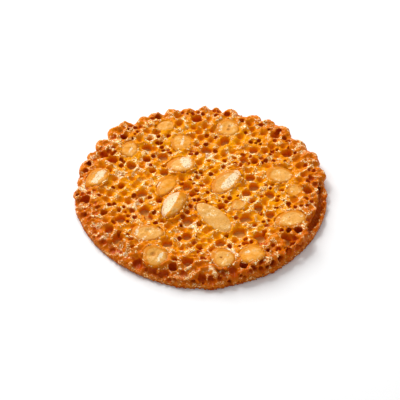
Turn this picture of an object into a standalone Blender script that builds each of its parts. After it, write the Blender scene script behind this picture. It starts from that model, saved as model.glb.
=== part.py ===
"""A florentine cookie: a thin round lace of baked caramel full of bubble holes, with flaked
almonds set in its top. It lies flat, as on a table.

Metres, +Z up. The origin is the middle of the underside. Each almond flake is its own solid,
in a pocket of the caramel that leaves it a thin gap all round.
"""

import math
import random

import bmesh
import bpy
from mathutils import Euler, Matrix, Vector, noise

MM = 0.001

# The round of caramel
RADIUS = 44.5 * MM  # at the foot, its widest
CENTRE_HEIGHT = 3.9 * MM
CROWN_HEIGHT = 5.1 * MM  # the rim swells above the middle
CROWN_RADIUS = 40.1 * MM
SHOULDER_RADIUS = 43.9 * MM  # the crown's outer edge
GROOVE_HEIGHT = 2.2 * MM  # the hollow round the side
GROOVE_RADIUS = 43.2 * MM
FOOT_HEIGHT = 1.3 * MM  # the thin lip that ran out on the baking sheet
SEGMENTS = 120
RELIEF = 0.28 * MM
RELIEF_SCALE = 11 * MM

# Uneven outline: broad bulges as (heading, half width, share of the radius)
BULGES = (
    (-134, 30, -0.025),
    (-48, 22, -0.007),
    (-5, 12, 0.007),
)
# The rim's lobes: heading, half width in degrees, and how far each one stands out in mm
LOBES = (
    (-168, 5.0, 0.6),
    (-97, 5.0, 0.5),
    (-85, 6.0, 1.0),
    (-57, 6.0, 0.5),
    (8, 7.5, 1.7),
    (20, 6.6, 2.1),
    (31, 5.2, 1.8),
    (45, 6.8, 2.3),
    (53, 4.2, 2.3),
    (61, 4.2, 1.7),
    (74, 3.9, 2.0),
    (82, 3.3, 1.4),
    (88, 3.5, 1.8),
    (97, 4.0, 1.2),
    (105, 3.8, 1.8),
    (114, 4.2, 1.8),
    (121, 3.4, 1.6),
    (131, 4.4, 2.8),
    (137, 5.8, 3.0),
    (148, 4.4, 1.9),
    (157, 3.4, 1.4),
    (165, 6.0, 1.6),
    (174, 4.5, 0.6),
    (-177, 4.5, 0.8),
)
SETBACK = 0.9 * MM  # the lobed side's edge lies this far in, between its lobes,
SETBACK_BEHIND = 1.9 * MM  # and this much further straight behind
TERRACE = 3.3 * MM  # on the right the crown stands back from the foot, over a hollow
TERRACE_FROM = -30  # headings between which it does
TERRACE_TO = 3
SLOPES = ((-148, 34, 1.0), (-98, 26, 0.7))  # where the rim slopes down to the foot
SLOPE_DROP = 0.5
BACK_SHIFT = 1.0 * MM  # moves the whole back, so that the origin is the middle of its box

# The widest bubble holes, where the caramel burst: middle x and y, and width, in mm
WIDE_HOLES = (
    (-13.7, 16.2, 3.6),
    (-31.7, 13.7, 3.6),
    (2.3, 19.6, 3.3),
    (-20.5, -2.9, 3.3),
    (-19.5, -11.3, 3.3),
    (-4.7, 0.5, 2.9),
    (-27.6, -15.7, 3.2),
    (-11.2, -27.2, 3.5),
    (-4.5, -23.7, 3.0),
    (-4.2, -36.1, 3.3),
    (-4.5, -16.4, 3.4),
    (-12.9, 7.8, 3.0),
    (-28.2, -25.2, 3.3),
    (15.8, -15.3, 4.0),
    (13.3, -21.9, 3.7),
    (20.4, -24.3, 3.9),
    (6.8, -26.9, 3.0),
    (19.0, 0.5, 3.4),
    (24.2, -13.5, 3.0),
    (29.1, -25.3, 3.3),
    (20.3, -9.8, 2.8),
    (31.3, 17.2, 3.2),
    (15.8, 14.5, 2.8),
    (27.4, 26.6, 2.8),
    (-1.4, 35.8, 3.3),
)

# Bubble holes in rows over the top, bubbles round the rim's shoulder and in the groove
SEED = 7
ROW_HEADING = 52  # degrees; the caramel ran in threads along this heading
ALONG_ROW = 4.15 * MM
BETWEEN_ROWS = 3.75 * MM
JITTER = 0.24  # share of the spacing
HOLE_MIN = 1.0 * MM
HOLE_MAX = 3.1 * MM
HOLE_FIELD = 38.6 * MM  # no hole of the rows lies further out
CUT_FROM = 2.4 * MM  # smaller holes are surface texture, not cut here
WIDE_FROM = 2.9 * MM  # wider holes have a thin film of caramel high in them
HOLE_SIDES = 6
DEEP_FLOOR = 1.0 * MM
FILM_HEIGHT = 1.9 * MM
HOLE_TAPER = 0.78
HOLE_WALL = 0.45 * MM  # least caramel left between two holes
MIDDLE_KEPT = 2.6 * MM  # the middle is left whole
SHOULDER_HOLES = 18
SHOULDER_HOLE_RADIUS = 41.6 * MM
SHOULDER_TILT = 38
GROOVE_HOLES = 18

# Bubble holes that show in the rim: middle x and y, and width, in mm
RIM_HOLES = (
    (-21.0, -35.4, 3.2),
    (-29.9, -28.9, 2.4),
    (0.6, -41.6, 3.0),
    (-17.0, -39.0, 2.0),
    (-12.0, -40.3, 2.8),
    (-9.3, -38.0, 2.6),
    (14.4, -37.8, 2.6),
    (18.2, -38.8, 2.4),
    (33.5, -21.4, 2.8),
    (-40.2, -5.8, 2.8),
    (-28.0, 26.0, 2.6),
)
RIM_FLOOR = 1.6 * MM

# Almond flakes
FLAKE_THICK = 1.35 * MM
GAP = 0.3 * MM
OPENING = 4 * MM  # how far a pocket's cutter reaches above its flake
FLAKE_ROUND = 12
FLAKE_RINGS = 6

# Each flake: middle x and y, length, width (mm), heading, rise of its middle above the caramel
# (mm), pitch of its leading end and roll to its left (degrees)
FLAKES = (
    (-13.3, 32.2, 8.0, 6.6, 20, -0.20, 3, 2),
    (-7.2, 23.7, 10.4, 8.6, 70, 0.05, -4, 4),
    (-7.2, 11.4, 10.8, 9.0, 6, 0.30, 4, -5),
    (10.0, 31.2, 9.4, 8.8, 30, 0.05, 5, 3),
    (28.4, 6.2, 10.0, 9.6, 10, 0.25, -4, -3),
    (8.9, 2.8, 14.0, 8.6, 48, 0.30, 5, -3),
    (-37.0, 3.8, 9.8, 7.6, 46, 0.10, 6, -2),
    (-12.2, 0.6, 11.6, 6.6, 66, 0.05, -3, 3),
    (-9.3, -10.0, 13.4, 7.6, 67, 0.45, 3, 0),
    (4.5, -15.2, 17.0, 7.8, -48, 0.45, -4, -3),
    (31.0, -16.5, 11.8, 8.2, 22, 0.20, 2, -5),
    (-18.0, -22.6, 11.8, 8.0, -5, 0.25, 4, 3),
    (-15.4, -33.5, 9.4, 8.6, -45, 0.00, -6, 3),
    (7.4, -35.2, 9.8, 8.4, 85, 0.15, -4, 4),
    (16.8, -33.3, 9.6, 9.0, 30, -0.05, 4, -5),
    (-25.8, 19.7, 8.8, 7.0, 75, -0.05, 3, 4),
    (13.2, -8.9, 5.8, 5.4, 0, -0.05, 4, 3),
    (33.1, -1.7, 7.0, 6.0, 60, -0.05, -3, 4),
)
RIDGED_FLAKE = 9  # the thick one, a split kernel lying on its round side
RIDGE_HEIGHT = 2.1 * MM

CARAMEL_COLOUR = (0.72, 0.26, 0.035, 1)
ALMOND_COLOUR = (0.86, 0.60, 0.27, 1)


def clear_scene():
    for thing in list(bpy.data.objects):
        bpy.data.objects.remove(thing, do_unlink=True)


def collection(name):
    made = bpy.data.collections.new(name)
    bpy.context.scene.collection.children.link(made)
    return made


def material(name, colour, roughness):
    made = bpy.data.materials.new(name)
    made.use_nodes = True
    shader = made.node_tree.nodes["Principled BSDF"]
    shader.inputs["Base Color"].default_value = colour
    shader.inputs["Roughness"].default_value = roughness
    shader.inputs["Metallic"].default_value = 0.0
    return made


def mesh_object(name, shape, group):
    """Makes an object from a bmesh, which is used up."""
    mesh = bpy.data.meshes.new(name)
    shape.to_mesh(mesh)
    shape.free()
    made = bpy.data.objects.new(name, mesh)
    group.objects.link(made)
    return made


def smooth_step(low, high, value):
    share = min(1.0, max(0.0, (value - low) / (high - low)))
    return share * share * (3 - 2 * share)


# The caramel's outline and height


def swell(angle, heading, half_width):
    """A bell round the side: 1 at its heading, and fading to 1/e a half width (degrees) away."""
    away = math.cos(angle - math.radians(heading)) - 1
    return math.exp(2 * away / math.radians(half_width) ** 2)


def outline(angle):
    """How far the foot reaches at this heading, as a share of the radius."""
    bulges = (share * swell(angle, heading, width) for heading, width, share in BULGES)
    return 1 + sum(bulges)


def lobes(angle):
    """How far the lobe at this heading stands out: rounded, and sharp where two meet."""
    reach = 0.0
    for heading, half_width, height in LOBES:
        away = 1 - math.cos(angle - math.radians(heading))
        reach = max(reach, height * (1 - 2 * away / math.radians(half_width) ** 2))
    return reach * MM


def setback(angle):
    """How far the lobed half's edge lies in."""
    side = math.sin(angle)
    return SETBACK * smooth_step(-0.2, 0.1, side) + SETBACK_BEHIND * max(0.0, side)


def terrace(angle):
    """1 where the crown stands back from the foot, 0 elsewhere."""
    degrees = math.degrees(math.atan2(math.sin(angle), math.cos(angle)))
    opening = smooth_step(TERRACE_FROM - 4, TERRACE_FROM + 3, degrees)
    return opening * smooth_step(TERRACE_TO + 6, TERRACE_TO - 6, degrees)


def slope(angle):
    """1 where the rim slopes down to the foot, 0 where its side is steep."""
    return min(1.0, sum(share * swell(angle, heading, width) for heading, width, share in SLOPES))


def crown_push(angle):
    """How far the crown's edge stands out (or, over the terrace, back) at this heading."""
    return 0.7 * MM - setback(angle) + lobes(angle) - TERRACE * terrace(angle)


def foot_push(angle):
    return 0.7 * lobes(angle) - setback(angle)


def top_height(radius):
    """The top's height over its foot: level in the middle, then up to the crown of the rim."""
    rise = smooth_step(CROWN_RADIUS - 13 * MM, CROWN_RADIUS, radius)
    return CENTRE_HEIGHT + (CROWN_HEIGHT - CENTRE_HEIGHT) * rise


def side_profile():
    """The half section, as (radius, height) from the top's middle, down the side, to the axis."""
    points = []
    for step in range(6):
        radius = CROWN_RADIUS * step / 5
        points.append((radius, top_height(radius)))
    points.append((SHOULDER_RADIUS - 1.0 * MM, CROWN_HEIGHT - 0.5 * MM))
    points.append((SHOULDER_RADIUS, CROWN_HEIGHT - 1.5 * MM))
    points.append((GROOVE_RADIUS, GROOVE_HEIGHT))
    points.append((RADIUS - 0.7 * MM, FOOT_HEIGHT))
    points.append((RADIUS, FOOT_HEIGHT / 2))
    points.append((RADIUS - 0.5 * MM, 0.0))
    points.append((CROWN_RADIUS / 2, 0.0))
    points.append((0.0, 0.0))
    return points


def turned(points, name, group):
    """Turns a half section about +Z with a Screw modifier, and gives it back as a plain mesh."""
    shape = bmesh.new()
    corners = [shape.verts.new((radius, 0, height)) for radius, height in points]
    for first, second in zip(corners, corners[1:]):
        shape.edges.new((first, second))
    section = mesh_object(name + "_section", shape, group)
    screw = section.modifiers.new("turn", "SCREW")
    screw.axis = "Z"
    screw.steps = SEGMENTS
    screw.render_steps = SEGMENTS
    screw.use_merge_vertices = True
    screw.merge_threshold = 0.00005
    bpy.context.view_layer.update()
    ready = section.evaluated_get(bpy.context.evaluated_depsgraph_get())
    mesh = bpy.data.meshes.new_from_object(ready)
    bpy.data.objects.remove(section, do_unlink=True)
    mesh.name = name
    made = bpy.data.objects.new(name, mesh)
    group.objects.link(made)
    return made


def make_uneven(body):
    """Moves the turned round's points out to its outline, and gives its top a low relief."""
    for vertex in body.data.vertices:
        place = vertex.co
        radius = math.hypot(place.x, place.y)
        angle = math.atan2(place.y, place.x)
        near_edge = smooth_step(0.3 * RADIUS, 0.97 * RADIUS, radius)
        stretch = 1 + (outline(angle) - 1) * near_edge
        high = smooth_step(FOOT_HEIGHT, GROOVE_HEIGHT, place.z)
        outer = smooth_step(0.86 * RADIUS, 0.95 * RADIUS, radius)
        push = (crown_push(angle) * high + foot_push(angle) * (1 - high)) * outer
        bump = noise.noise(Vector((place.x, place.y, 0)) / RELIEF_SCALE) * RELIEF * high
        place.x *= stretch + push / max(radius, MM)
        place.y *= stretch + push / max(radius, MM)
        place.z += bump
        place.z *= 1 - SLOPE_DROP * slope(angle) * smooth_step(0.8 * RADIUS, RADIUS, radius)


# The bubble holes


def near_flake(x, y, margin):
    """Whether a spot lies on or near an almond flake."""
    for flake_x, flake_y, length, width, heading, *_ in FLAKES:
        away = Vector((x - flake_x * MM, y - flake_y * MM))
        away.rotate(Matrix.Rotation(-math.radians(heading), 2))
        across = away.x / (length * MM / 2 + margin)
        side = away.y / (width * MM / 2 + margin)
        if across * across + side * side < 1:
            return True
    return False


def near_rim_hole(x, y, width):
    return any(
        math.hypot(x - other_x * MM, y - other_y * MM) < (width + other * MM) / 2 + MM
        for other_x, other_y, other in RIM_HOLES
    )


def top_holes():
    """The holes of the top as (x, y, width): the widest, then uneven rows clear of them and of
    each other."""
    draw = random.Random(SEED)
    turn = Matrix.Rotation(math.radians(ROW_HEADING), 2)
    reach = int(RADIUS / BETWEEN_ROWS) + 2
    holes = []
    for row in range(-reach, reach + 1):
        for place in range(-reach, reach + 1):
            spot = Vector((place + 0.5 * (row % 2), row))
            spot += Vector((draw.gauss(0, JITTER), draw.gauss(0, JITTER)))
            spot = turn @ Vector((spot.x * ALONG_ROW, spot.y * BETWEEN_ROWS))
            width = HOLE_MIN + (HOLE_MAX - HOLE_MIN) * draw.random() ** 1.55
            if MIDDLE_KEPT + width / 2 < spot.length < HOLE_FIELD:
                holes.append((spot.x, spot.y, width))
    holes.sort(key=lambda hole: -hole[2])
    kept = [(x * MM, y * MM, width * MM) for x, y, width in WIDE_HOLES]
    for x, y, width in holes:
        clear = (
            math.hypot(x - other_x, y - other_y) > (width + other) / 2 + HOLE_WALL
            for other_x, other_y, other in kept
        )
        if all(clear):
            kept.append((x, y, width))
    return kept


def tapered(shape, top, bottom, low, high, place):
    """Adds a round cutter from low to high along its own axis, placed by a matrix."""
    lift = Matrix.Translation((0, 0, (low + high) / 2))
    bmesh.ops.create_cone(
        shape,
        cap_ends=True,
        segments=HOLE_SIDES,
        radius1=bottom / 2,
        radius2=top / 2,
        depth=high - low,
        matrix=place @ lift,
    )


def top_cutter(group):
    """One cutter for the wider holes of the top. None goes right through."""
    shape = bmesh.new()
    for number, (x, y, width) in enumerate(top_holes()):
        if width < CUT_FROM or near_flake(x, y, width / 2 + 0.8 * MM):
            continue
        low = FILM_HEIGHT if width > WIDE_FROM else DEEP_FLOOR
        high = CROWN_HEIGHT + 1.5 * MM
        place = Matrix.Translation((x, y, 0)) @ Matrix.Rotation(number, 4, "Z")
        tapered(shape, width, width * HOLE_TAPER, low, high, place)
    return mesh_object("top_hole_cutter", shape, group)


def side_places(count, draw):
    """Uneven headings round the side, in order."""
    step = math.tau / count
    return [step * (place + 0.5 * (draw.random() - 0.5)) for place in range(count)]


def shoulder_cutter(group):
    """Holes in the rim: those with places of their own, then others that look up and outwards
    from the shoulder."""
    draw = random.Random(SEED + 1)
    shape = bmesh.new()
    for x, y, width in RIM_HOLES:
        place = Matrix.Translation((x * MM, y * MM, 0))
        tapered(shape, width * MM, width * MM * HOLE_TAPER, RIM_FLOOR, CROWN_HEIGHT + 1.5 * MM, place)
    for angle in side_places(SHOULDER_HOLES, draw):
        width = (1.7 + 1.3 * draw.random()) * MM
        radius = SHOULDER_HOLE_RADIUS * outline(angle) + crown_push(angle)
        x = radius * math.cos(angle)
        y = radius * math.sin(angle)
        if near_flake(x, y, width / 2 + 1.2 * MM) or near_rim_hole(x, y, width):
            continue
        place = Matrix.Translation((x, y, CROWN_HEIGHT - 0.7 * MM))
        place = place @ Matrix.Rotation(angle, 4, "Z")
        place = place @ Matrix.Rotation(math.radians(SHOULDER_TILT), 4, "Y")
        tapered(shape, width, width * HOLE_TAPER, -1.7 * MM, 2.5 * MM, place)
    return mesh_object("shoulder_hole_cutter", shape, group)


def groove_cutter(group):
    """Small holes that open sideways in the groove."""
    draw = random.Random(SEED + 2)
    shape = bmesh.new()
    for angle in side_places(GROOVE_HOLES, draw):
        width = (0.9 + 0.6 * draw.random()) * MM
        radius = GROOVE_RADIUS * outline(angle) + crown_push(angle)
        height = GROOVE_HEIGHT + 0.15 * MM * draw.random()
        place = Matrix.Translation((radius * math.cos(angle), radius * math.sin(angle), height))
        place = place @ Matrix.Rotation(angle, 4, "Z") @ Matrix.Rotation(math.pi / 2, 4, "Y")
        tapered(shape, width, width * HOLE_TAPER, -1.3 * MM, 3 * MM, place)
    return mesh_object("groove_hole_cutter", shape, group)


# The almond flakes


def flake_place(flake):
    """The matrix that sets a flake down: leaning a little, its middle near the caramel's top."""
    x, y, _, _, heading, rise, pitch, roll = flake
    height = top_height(math.hypot(x, y) * MM) + rise * MM
    lean = Euler((math.radians(roll), -math.radians(pitch), math.radians(heading)))
    return Matrix.Translation((x * MM, y * MM, height)) @ lean.to_matrix().to_4x4()


def flake_shape(flake, number, grow, raised=0.0):
    """A thin slice of kernel: an egg-shaped outline with flat faces and round edges. Grown by
    a margin and with its upper half raised, it is the cutter of its own pocket."""
    length = flake[2] * MM / 2 + grow
    width = flake[3] * MM / 2 + grow
    shape = bmesh.new()
    bmesh.ops.create_uvsphere(
        shape, u_segments=FLAKE_ROUND, v_segments=FLAKE_RINGS, radius=1
    )
    for vertex in shape.verts:
        unit = vertex.co.copy()
        flat = math.copysign(abs(unit.z) ** 0.7, unit.z) if abs(unit.z) > 0.01 else 0.0
        egg = 1 + 0.13 * unit.x
        wave = 0.04 * math.sin(3 * math.atan2(unit.y, unit.x) + number)
        vertex.co.x = unit.x * length * (1 + wave)
        vertex.co.y = unit.y * width * egg * (1 + wave)
        vertex.co.z = flat * (FLAKE_THICK / 2 + grow)
        if number == RIDGED_FLAKE and unit.z > 0.01:
            side = min(1.0, abs(unit.y))
            vertex.co.z += (RIDGE_HEIGHT - FLAKE_THICK / 2) * (1 - side) * (1 - unit.x**4) ** 0.5
        if raised and unit.z > 0.01:
            vertex.co.z += raised
    return shape


def make_flakes(group, pockets, finish):
    """The flakes, and the one cutter of all their pockets."""
    pocket = bmesh.new()
    for number, flake in enumerate(FLAKES, start=1):
        place = flake_place(flake)
        shape = flake_shape(flake, number, 0.0)
        bmesh.ops.transform(shape, matrix=place, verts=shape.verts)
        made = mesh_object(f"almond_flake_{number:02d}", shape, group)
        made.data.shade_smooth()
        made.data.materials.append(finish)
        room = flake_shape(flake, number, GAP * 1.25, OPENING)
        bmesh.ops.transform(room, matrix=place, verts=room.verts)
        spare = bpy.data.meshes.new("pocket")
        room.to_mesh(spare)
        room.free()
        pocket.from_mesh(spare)
        bpy.data.meshes.remove(spare)
    return mesh_object("flake_pocket_cutter", pocket, pockets)


def cut(body, tool, name):
    tool.hide_render = True
    tool.display_type = "WIRE"
    step = body.modifiers.new(name, "BOOLEAN")
    step.operation = "DIFFERENCE"
    step.solver = "EXACT"
    step.object = tool


def main():
    clear_scene()
    cookie = collection("florentine_cookie")
    cutters = collection("cutters")
    caramel = material("caramel", CARAMEL_COLOUR, 0.28)
    almond = material("almond", ALMOND_COLOUR, 0.5)
    lace = turned(side_profile(), "caramel_lace", cookie)
    make_uneven(lace)
    lace.data.shade_smooth()
    lace.data.materials.append(caramel)
    cut(lace, top_cutter(cutters), "top_holes")
    cut(lace, shoulder_cutter(cutters), "shoulder_holes")
    cut(lace, groove_cutter(cutters), "groove_holes")
    cut(lace, make_flakes(cookie, cutters, almond), "flake_pockets")
    middle = bpy.data.objects.new("middle", None)
    cookie.objects.link(middle)
    for thing in (*cookie.objects, *cutters.objects):
        if thing != middle:
            thing.parent = middle
    middle.location.y = BACK_SHIFT


main()
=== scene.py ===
"""A florentine cookie: a thin round lace of baked caramel full of bubble holes, browner at its
raised rim, with flaked almonds set in its top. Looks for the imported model, in metres, +Z up."""

import math
import random

import bmesh
import bpy
import numpy as np
from mathutils import Matrix, Vector, noise


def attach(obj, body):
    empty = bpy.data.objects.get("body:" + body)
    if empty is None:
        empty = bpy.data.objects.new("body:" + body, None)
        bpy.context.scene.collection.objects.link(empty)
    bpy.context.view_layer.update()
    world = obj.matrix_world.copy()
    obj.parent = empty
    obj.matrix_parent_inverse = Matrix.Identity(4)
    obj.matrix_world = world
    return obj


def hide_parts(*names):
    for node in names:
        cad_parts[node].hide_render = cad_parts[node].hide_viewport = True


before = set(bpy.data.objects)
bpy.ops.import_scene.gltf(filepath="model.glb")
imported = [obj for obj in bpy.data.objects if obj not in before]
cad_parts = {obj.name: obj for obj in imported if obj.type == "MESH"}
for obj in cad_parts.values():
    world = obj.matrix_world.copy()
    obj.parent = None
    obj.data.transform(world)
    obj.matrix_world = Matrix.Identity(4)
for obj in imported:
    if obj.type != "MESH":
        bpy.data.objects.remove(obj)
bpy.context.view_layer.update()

MM = 0.001

# The round of caramel, in millimetres, as the CAD model has it. It is drawn about its own
# middle, and the origin lies this far from that
BACK_SHIFT = Vector((0.0, 1.0, 0.0))
RADIUS = 44.5
CENTRE_HEIGHT = 3.9
CROWN_HEIGHT = 5.1
CROWN_RADIUS = 40.1
SHOULDER_RADIUS = 43.9
FOOT_HEIGHT = 1.3
BULGES = (
    (-134, 30, -0.025),
    (-48, 22, -0.007),
    (-5, 12, 0.007),
)
# The rim's lobes: heading, half width in degrees, and how far each one stands out
LOBES = (
    (-168, 5.0, 0.6),
    (-97, 5.0, 0.5),
    (-85, 6.0, 1.0),
    (-57, 6.0, 0.5),
    (8, 7.5, 1.7),
    (20, 6.6, 2.1),
    (31, 5.2, 1.8),
    (45, 6.8, 2.3),
    (53, 4.2, 2.3),
    (61, 4.2, 1.7),
    (74, 3.9, 2.0),
    (82, 3.3, 1.4),
    (88, 3.5, 1.8),
    (97, 4.0, 1.2),
    (105, 3.8, 1.8),
    (114, 4.2, 1.8),
    (121, 3.4, 1.6),
    (131, 4.4, 2.8),
    (137, 5.8, 3.0),
    (148, 4.4, 1.9),
    (157, 3.4, 1.4),
    (165, 6.0, 1.6),
    (174, 4.5, 0.6),
    (-177, 4.5, 0.8),
)
SETBACK = 0.9  # the lobed side's edge lies this far in, between its lobes,
SETBACK_BEHIND = 1.9  # and this much further straight behind
TERRACE = 3.3  # on the right the crown stands back from the foot, over a hollow
TERRACE_FROM = -30
TERRACE_TO = 3
RISE = 13.0  # width of the ring over which the middle rises to the crown
# Headings of the side's features, each with its half width in degrees
SLOPES = ((-148, 34, 1.0), (-98, 26, 0.7))  # the rim slopes down to the foot, by this share
FRONT = (-62, 38)  # the wall rounds outwards down to the foot
FRINGE = (105, 62)  # the edge is smooth and clear
FEW_IN_FRONT = (-100, 50)  # there are fewer bubbles in the rim
FEW_BEHIND = (120, 50)
LOW_RIM = (-125, 50)  # the rim's bubbles lie lower
CLOSED_SIDE = (105, 75)  # few bubbles open in the side

# The widest bubble holes, where the caramel burst: middle x and y, and width
WIDE_HOLES = (
    (-13.7, 16.2, 3.6),
    (-31.7, 13.7, 3.6),
    (2.3, 19.6, 3.3),
    (-20.5, -2.9, 3.3),
    (-19.5, -11.3, 3.3),
    (-4.7, 0.5, 2.9),
    (-27.6, -15.7, 3.2),
    (-11.2, -27.2, 3.5),
    (-4.5, -23.7, 3.0),
    (-4.2, -36.1, 3.3),
    (-4.5, -16.4, 3.4),
    (-12.9, 7.8, 3.0),
    (-28.2, -25.2, 3.3),
    (15.8, -15.3, 4.0),
    (13.3, -21.9, 3.7),
    (20.4, -24.3, 3.9),
    (6.8, -26.9, 3.0),
    (19.0, 0.5, 3.4),
    (24.2, -13.5, 3.0),
    (29.1, -25.3, 3.3),
    (20.3, -9.8, 2.8),
    (31.3, 17.2, 3.2),
    (15.8, 14.5, 2.8),
    (27.4, 26.6, 2.8),
    (-1.4, 35.8, 3.3),
)

# Bubble holes that show in the rim: middle x and y, and width
RIM_HOLES = (
    (-21.0, -35.4, 3.2),
    (-29.9, -28.9, 2.4),
    (0.5, -42.4, 3.0),
    (-17.0, -39.0, 2.0),
    (-12.0, -40.3, 2.8),
    (-9.3, -38.0, 2.6),
    (14.4, -37.8, 2.6),
    (33.4, -22.0, 2.8),
    (30.1, -22.0, 2.1),
    (23.0, -31.2, 2.1),
    (29.9, -28.4, 2.2),
    (-40.2, -5.8, 2.8),
    (-28.0, 26.0, 2.6),
)

# Pits in the steep side of the rim, in front and on the right: middle x, y and z, and width
SIDE_PITS = (
    (-8.5, -43.2, 2.4, 1.6),
    (-2.5, -43.9, 2.6, 1.9),
    (3.7, -43.9, 3.2, 2.4),
    (6.5, -43.2, 3.7, 1.8),
    (7.6, -41.7, 4.7, 2.1),
    (11.1, -41.3, 4.5, 2.8),
    (16.5, -40.3, 3.9, 2.1),
    (18.2, -39.3, 4.2, 2.1),
    (20.5, -36.8, 4.9, 1.8),
    (20.5, -38.9, 3.5, 1.8),
    (22.5, -37.6, 3.4, 1.8),
    (24.4, -36.4, 3.5, 2.4),
    (26.9, -34.2, 4.0, 2.4),
    (29.7, -31.3, 4.3, 2.4),
    (32.7, -29.1, 3.7, 2.8),
    (34.6, -27.3, 3.0, 2.1),
    (36.8, -22.3, 4.4, 2.1),
)

# Where the foam of tiny bubbles is thickest: x, y and radius
FOAM_PATCHES = (
    (-23.9, 10.2, 2.6),
    (-20.4, 12.8, 1.8),
    (15.9, -6.2, 2.4),
    (-31.6, -8.6, 3.4),
    (-23.2, -7.7, 2.0),
    (-33.2, -24.1, 2.6),
    (-27.1, -31.2, 2.4),
    (-35.5, -19.0, 2.8),
    (-42.0, -0.5, 2.2),
    (-0.5, -11.6, 2.2),
    (8.4, -17.9, 1.8),
    (-28.7, 5.5, 2.2),
    (-22.5, 1.4, 2.2),
    (-18.2, 26.3, 2.2),
    (3.1, 16.6, 1.8),
    (10.0, 16.6, 2.4),
    (-3.3, -18.4, 1.8),
    (10.2, -31.6, 1.8),
    (1.7, 38.1, 2.0),
    (-5.6, -40.6, 2.6),
    (4.6, -39.6, 2.2),
)

# Bare almond showing through the glaze of each flake, placed where the flakes catch the light, so
# partly a
# painted highlight: its middle from the flake's middle, its length and width, in millimetres, and
# its heading in degrees
BARE_HIGHLIGHT_PATCHES = {
    "almond_flake_02": ((0.6, 0.0, 6.0, 1.2, 84),),
    "almond_flake_03": ((1.9, 1.2, 6.4, 3.6, 95),),
    "almond_flake_04": ((-2.4, -0.3, 2.6, 1.4, 80),),
    "almond_flake_05": ((0.5, 0.0, 1.6, 0.6, 20),),
    "almond_flake_06": ((2.1, 0.9, 10.6, 3.2, 55),),
    "almond_flake_07": ((1.0, 0.6, 7.0, 2.8, 58),),
    "almond_flake_08": ((-2.6, 0.6, 4.8, 1.2, 58),),
    "almond_flake_11": ((3.9, 1.2, 2.0, 1.2, 30),),
    "almond_flake_12": (
        (-3.7, 0.6, 4.4, 1.6, 80),
        (-1.3, -2.7, 2.4, 1.0, 40),
        (4.5, -0.9, 2.0, 0.7, 60),
    ),
    "almond_flake_13": ((-3.3, 1.0, 2.6, 0.6, 80), (2.0, -0.8, 4.4, 1.3, 70)),
    "almond_flake_14": ((1.6, 1.2, 4.0, 0.4, 80),),
    "almond_flake_15": ((-1.2, 0.6, 2.2, 1.5, 45), (0.6, -3.2, 4.6, 0.7, 10)),
    "almond_flake_16": ((0.6, -0.9, 3.4, 1.1, 70),),
    "almond_flake_17": ((2.6, 1.6, 1.6, 1.0, 30),),
    "almond_flake_18": ((-0.9, -0.6, 2.2, 0.7, 70),),
}

# Small dents in flakes: place from the flake's middle, width, and how dark their painted shade is,
# from 0 to 1
DENTS = {
    "almond_flake_04": ((0.9, 0.4, 1.3, 0.5), (0.5, -1.2, 1.2, 0.5)),
    "almond_flake_11": ((0.0, 0.45, 0.6, 0.6),),
    "almond_flake_12": ((0.5, 0.6, 2.6, 0.1),),
    "almond_flake_13": ((-0.3, 0.2, 1.8, 0.45),),
    "almond_flake_14": ((-0.5, -0.2, 0.8, 1.0),),
}

# How brown each flake's glaze is, and how far the caramel laps over the flake, from 0 to 1
GLAZE = {
    "almond_flake_01": (0.6, 0.9),
    "almond_flake_02": (0.8, 0.7),
    "almond_flake_03": (0.2, 0.0),
    "almond_flake_04": (0.6, 0.2),
    "almond_flake_05": (0.3, 0.1),
    "almond_flake_06": (0.35, 0.0),
    "almond_flake_07": (0.8, 0.2),
    "almond_flake_08": (1.0, 0.2),
    "almond_flake_09": (1.0, 0.0),
    "almond_flake_10": (0.1, 0.0),
    "almond_flake_11": (0.25, 0.1),
    "almond_flake_12": (0.35, 0.2),
    "almond_flake_13": (0.45, 0.4),
    "almond_flake_14": (0.35, 0.1),
    "almond_flake_15": (1.0, 0.6),
    "almond_flake_16": (0.8, 0.4),
    "almond_flake_17": (0.7, 0.5),
    "almond_flake_18": (0.7, 0.6),
}

# Bubble holes in rows over the top
SEED = 7
ROW_HEADING = 52  # degrees; the caramel ran in threads along this heading
ALONG_ROW = 4.15
BETWEEN_ROWS = 3.75
JITTER = 0.24  # share of the spacing
HOLE_MIN = 1.0
HOLE_MAX = 3.1
HOLE_SKEW = 1.55  # small holes are commoner than wide ones
HOLE_FIELD = 38.6  # no hole of the rows lies further out
HOLE_WALL = 0.45  # least caramel left between two holes
MIDDLE_KEPT = 2.6  # the middle has no hole
SHALLOW_BEHIND = (5, 32)  # holes with y and distance over these are mostly shallow
WIDTHS = (1.2, 1.6, 2.0, 2.4, 2.8, 3.2, 3.7, 4.3)  # bubbles are cut in these widths
STRETCH = 0.42  # and those of the top are taller than wide
WIDE = 2.9  # wider holes have a thin film of caramel high in them
FILM_HEIGHT = 1.9
PIT_FLOOR = 0.9  # how deep the others reach
EDGE_FLOOR = 1.7  # how deep the rim's own holes reach
EDGE_HEIGHT = 3.6  # height of their middles

# Rings of bubbles: how many, at what distance from the middle, and how far that wanders
RIM_RING = (72, 41.0, 2.6)
SIDE_RING = (190, 44.2, 0.6)
TERRACE_RING = (140, 42.2, 0.8)
SMALL_TRIES = 900
SMALL_FIELD = 41.0
LOW_BUBBLES = 300
LOW_FIELD = 43.5

# The grid on which the caramel's surface is found, and the most triangles it may keep
VOXEL = 0.28
GRID_SIDE = 47.4
GRID_BOTTOM = -0.7
GRID_TOP = 6.4
TRIANGLE_LIMIT = 190000
TRIANGLES_KEPT = 188000

# Families of helper points, beside those of the bubbles, which count up from 0
COLLAR = -1  # where the caramel laps round a flake
SEAT = -2  # where a flake sits
FOAM = -3  # where the foam is thickest
COLLAR_SIDES = 24

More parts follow.
